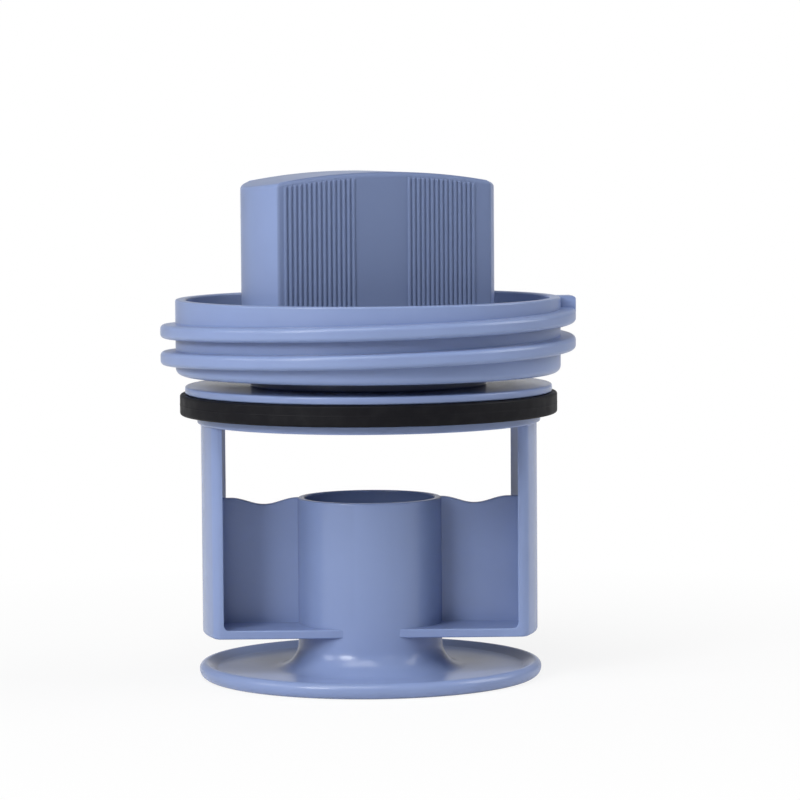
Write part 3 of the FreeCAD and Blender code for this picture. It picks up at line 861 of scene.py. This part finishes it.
def plastic(name, colour, gloss, grain, matt=0.0, depth=0.0):
    """Coloured plastic: colour in linear numbers, gloss as the roughness, grain as the strength of
    the fine bump. On the grip's long faces matt is added to the roughness, the sheen is halved,
    and depth is the share by which the colour is darkened there as painted shade."""
    material, tree, shader, place = new_material(name)
    faces = on_bar_faces(tree, place)
    pale = tuple(c * (1 + DRIFT) for c in colour)
    deep = tuple(c * (1 - DRIFT) for c in colour)
    # painted shade: the grip's long faces get a colour darker by the share depth
    painted_shade_colour = tuple(c * (1 - depth) for c in colour)
    drift = ranged(tree, noise(tree, place, DRIFT_WAVES, 3), 0.3, 0.7, 0, 1)
    shader.inputs["Base Color"].default_value = (*colour, 1)
    skin_colour = mixed(tree, faces, mixed(tree, drift, deep, pale), painted_shade_colour)
    tree.links.new(skin_colour, shader.inputs["Base Color"])
    smudge = noise(tree, place, SMUDGE_WAVES, 3)
    dull = ranged(tree, smudge, 0.35, 0.65, gloss - SMUDGE, gloss + SMUDGE)
    dull = joined(tree, "ADD", dull, ranged(tree, faces, 0, 1, 0, matt))
    tree.links.new(dull, shader.inputs["Roughness"])
    shader.inputs["IOR"].default_value = PLASTIC_IOR
    sheen = ranged(tree, faces, 0, 1, SPECULAR, SPECULAR * (MATT_SHEEN if matt else 1))
    tree.links.new(sheen, shader.inputs["Specular IOR Level"])
    shader.inputs["Subsurface Weight"].default_value = MILKY_SHARE
    shader.inputs["Subsurface Radius"].default_value = MILKY_TINT
    shader.inputs["Subsurface Scale"].default_value = MILKY_DEPTH
    bump(tree, shader, [(noise(tree, place, UNEVEN_WAVES, 1), UNEVEN_STRENGTH, UNEVEN_HEIGHT),
                        (noise(tree, place, GRAIN_WAVES, 2), grain, GRAIN_HEIGHT)])
    return material

insert_plastic = plastic("glossy_blue_plastic", PLASTIC_BLUE, gloss=0.23, grain=0.08)
# depth=0.32 darkens the grip's long faces as painted shade
cap_plastic = plastic("satin_blue_plastic", PLASTIC_BLUE, gloss=0.3, grain=0.15, matt=0.22, depth=0.32)
insert_moulding.data.materials.append(insert_plastic)
cap_moulding.data.materials.append(cap_plastic)
print("finishes:", insert_plastic.name, "and", cap_plastic.name)

# %% [markdown]
# The ring is black rubber. Rubber is never quite black and hardly shines, so its colour is a very
# dark grey, its sheen is low and broad, and dust shows as slightly paler specks. A plain black
# with the plastic's gloss would look like a lacquered ring.

# %% Rubber
RUBBER_SHEEN = 0.09
RUBBER_BLACK = (0.007, 0.007, 0.009)
RUBBER_CLEAN = (0.006, 0.006, 0.008)
RUBBER_DUSTY = (0.014, 0.014, 0.016)
DUST_WAVES, DULL_WAVES, RUBBER_GRAIN_WAVES = 420, 300, 2600
RUBBER_GRAIN = 0.2

def rubber():
    """Black rubber with a trace of dust: a dark base, a dull gloss and a fine uneven grain."""
    material, tree, shader, place = new_material("black_rubber")
    dust = ranged(tree, noise(tree, place, DUST_WAVES, 5), 0.45, 0.75, 0, 0.5)
    dull = ranged(tree, noise(tree, place, DULL_WAVES, 4), 0.3, 0.7, 0.42, 0.56)
    shader.inputs["Base Color"].default_value = (*RUBBER_BLACK, 1)
    tree.links.new(mixed(tree, dust, RUBBER_CLEAN, RUBBER_DUSTY), shader.inputs["Base Color"])
    tree.links.new(dull, shader.inputs["Roughness"])
    shader.inputs["Specular IOR Level"].default_value = RUBBER_SHEEN
    bump(tree, shader, [(noise(tree, place, RUBBER_GRAIN_WAVES, 3), RUBBER_GRAIN, GRAIN_HEIGHT)])
    return material

seal.data.materials.append(rubber())
print("the ring's finish:", seal.data.materials[0].name)

# %% [markdown]
# The set is a product table: a white floor that runs out of sight, a white sweep behind it, and
# soft lamps. A ray that comes from the camera or through glass sees plain white at strength one,
# and so does a reflection that looks back at the sweep. Reflections that look to the sides or up
# see the grey room, which keeps the round edges from turning pale. All other rays get a dim grey,
# so the white surroundings don't flood the part with light.

# %% White surroundings
SURROUND = 0.05
ROOM_GREY = 0.33
SWEEP_BEGINS, SWEEP_FULL = 0.93, 0.985
SWEEP_LOW, SWEEP_HIGH = 0.05, 0.2

def seen_white(tree, look):
    """How white the surroundings are for the ray that arrives: fully so for the camera and through
    glass. For a reflection it depends on the direction looked in, as seen from the part: white
    where the sweep is, behind the part and low down, and the room's grey elsewhere."""
    ray = tree.nodes.new("ShaderNodeLightPath")
    plain = joined(tree, "ADD", ray.outputs["Is Camera Ray"], ray.outputs["Is Transmission Ray"])
    split = tree.nodes.new("ShaderNodeSeparateXYZ")
    tree.links.new(look, split.inputs["Vector"])
    behind = ranged(tree, split.outputs["Y"], SWEEP_BEGINS, SWEEP_FULL, 0, 1)
    low = ranged(tree, split.outputs["Z"], SWEEP_LOW, SWEEP_HIGH, 1, 0)
    sweep = ranged(tree, joined(tree, "MULTIPLY", behind, low), 0, 1, ROOM_GREY, 1)
    mirrored = joined(tree, "MULTIPLY", ray.outputs["Is Glossy Ray"], sweep)
    return ranged(tree, joined(tree, "ADD", plain, mirrored), 0, 1, 0, 1)

world = bpy.data.worlds.new("white_surround")
bpy.context.scene.world = world
world.use_nodes = True
sky_tree = world.node_tree
direction = sky_tree.nodes.new("ShaderNodeTexCoord").outputs["Generated"]
sky_colour = mixed(sky_tree, seen_white(sky_tree, direction), (SURROUND,) * 3, (1, 1, 1))
sky_tree.links.new(sky_colour, sky_tree.nodes["Background"].inputs["Color"])
print("world:", world.name)

# %% The floor
FLOOR_HALF = 6.0
floor_mesh = bpy.data.meshes.new("floor")
floor_corners = np.array([(-1, -1), (1, -1), (1, 1), (-1, 1)]) * FLOOR_HALF
floor_corners = np.column_stack([floor_corners, np.full(4, frame_box[0].z)])
floor_mesh.from_pydata(floor_corners.tolist(), [], [(0, 1, 2, 3)])
floor = bpy.data.objects.new("floor", floor_mesh)
bpy.context.scene.collection.objects.link(floor)

NEAR, FAR = 0.04, 0.16
NEAR_GLOW = 0.85
FLOOR_PAINT = (0.85, 0.85, 0.85)

def floor_white():
    """White that is lit by the lamps, and so shaded, near the part, and plain white far from it."""
    material, tree, shader, place = new_material("floor_white")
    shader.inputs["Base Color"].default_value = (*FLOOR_PAINT, 1)
    shader.inputs["Roughness"].default_value = 0.9
    shader.inputs["Specular IOR Level"].default_value = 0.1
    glow = tree.nodes.new("ShaderNodeEmission")
    blend = tree.nodes.new("ShaderNodeMixShader")
    outward = tree.nodes.new("ShaderNodeVectorMath")
    outward.operation = "NORMALIZE"
    tree.links.new(place, outward.inputs[0])
    near_part = ranged(tree, off_axis(tree, place), NEAR, FAR, NEAR_GLOW, 1)
    glowing = joined(tree, "MULTIPLY", seen_white(tree, outward.outputs["Vector"]), near_part)
    tree.links.new(glowing, blend.inputs["Fac"])
    tree.links.new(shader.outputs["BSDF"], blend.inputs[1])
    tree.links.new(glow.outputs["Emission"], blend.inputs[2])
    tree.links.new(blend.outputs["Shader"], tree.nodes["Material Output"].inputs["Surface"])
    return material

floor.data.materials.append(floor_white())
print("floor:", 2 * FLOOR_HALF, "m across, lit near the part and plain white beyond", FAR, "m")

# %% [markdown]
# The photograph's light comes from the left. A compact box there, low and in front, is the key:
# it draws the streak down the tube and the crisp shadows under the thread's ridges. A second one
# further round lights the grip's left end, and a large box high up softens both. A weak box to
# the right draws the tube's second streak, and a large one at the far right lifts that side.

# %% Soft lamps
CENTRE = (frame_box[0] + frame_box[1]) / 2
LAMP_DISTANCE = 1.2

def softbox(name, azimuth, elevation, width, height, level):
    """A rectangular lamp aimed at the part. Azimuth 0 is at the camera's side and grows to the
    right. level is its radiance, so its power is level times pi times its area."""
    light = bpy.data.lights.new(name, "AREA")
    light.shape = "RECTANGLE"
    light.size, light.size_y = width, height
    light.energy = level * np.pi * width * height
    lamp = bpy.data.objects.new(name, light)
    bpy.context.scene.collection.objects.link(lamp)
    a, e = radians(azimuth), radians(elevation)
    out = Vector((sin(a) * cos(e), -cos(a) * cos(e), sin(e)))
    lamp.location = CENTRE + out * LAMP_DISTANCE
    lamp.rotation_euler = out.to_track_quat("Z", "Y").to_euler()
    return lamp

lamps = [
    softbox("key_left", -40, 22, width=0.4, height=0.35, level=16.0),
    softbox("far_left", -75, 22, width=0.4, height=0.35, level=6.3),
    softbox("high_front", -22, 54, width=0.8, height=0.8, level=4.2),
    softbox("soft_right", 30, 22, width=0.4, height=0.35, level=1.3),
    softbox("low_right", 90, 30, width=0.7, height=0.8, level=4.2),
]
print("lamps in watts:", {lamp.name: round(lamp.data.energy, 2) for lamp in lamps})

# %% [markdown]
# The camera stands far away with a long lens, as product cameras do, a little above the part and
# looking slightly down. Its place was worked out from the photograph: how the round edges open
# at each height gives the eye's height, and how they grow with depth gives the distance.

# %% Camera at the photograph's place
CAMERA_TURN = -1.3
CAMERA_RIGHT = 5.3
CAMERA_DISTANCE = 635.0
CAMERA_HEIGHT = 93.6
CAMERA_DOWN = 4.217
CAMERA_ROLL = -0.4
CAMERA_LENS = 169.4

camera_data = bpy.data.cameras.new("camera")
camera_data.lens = CAMERA_LENS
camera_data.sensor_width = 36.0
camera_data.clip_start, camera_data.clip_end = 0.05, 20.0
camera = bpy.data.objects.new("camera", camera_data)
bpy.context.scene.collection.objects.link(camera)
aim = Matrix.Rotation(radians(CAMERA_TURN), 4, "Z")
aim = aim @ Matrix.Translation(Vector((CAMERA_RIGHT, -CAMERA_DISTANCE, CAMERA_HEIGHT)) * MM)
aim = aim @ Euler((radians(90 - CAMERA_DOWN), 0, 0)).to_matrix().to_4x4()
camera.matrix_world = aim @ Matrix.Rotation(radians(CAMERA_ROLL), 4, "Z")
bpy.context.scene.camera = camera
bpy.context.scene.view_settings.view_transform = "Standard"
print("camera at", [round(v / MM, 1) for v in camera.matrix_world.translation], "mm")
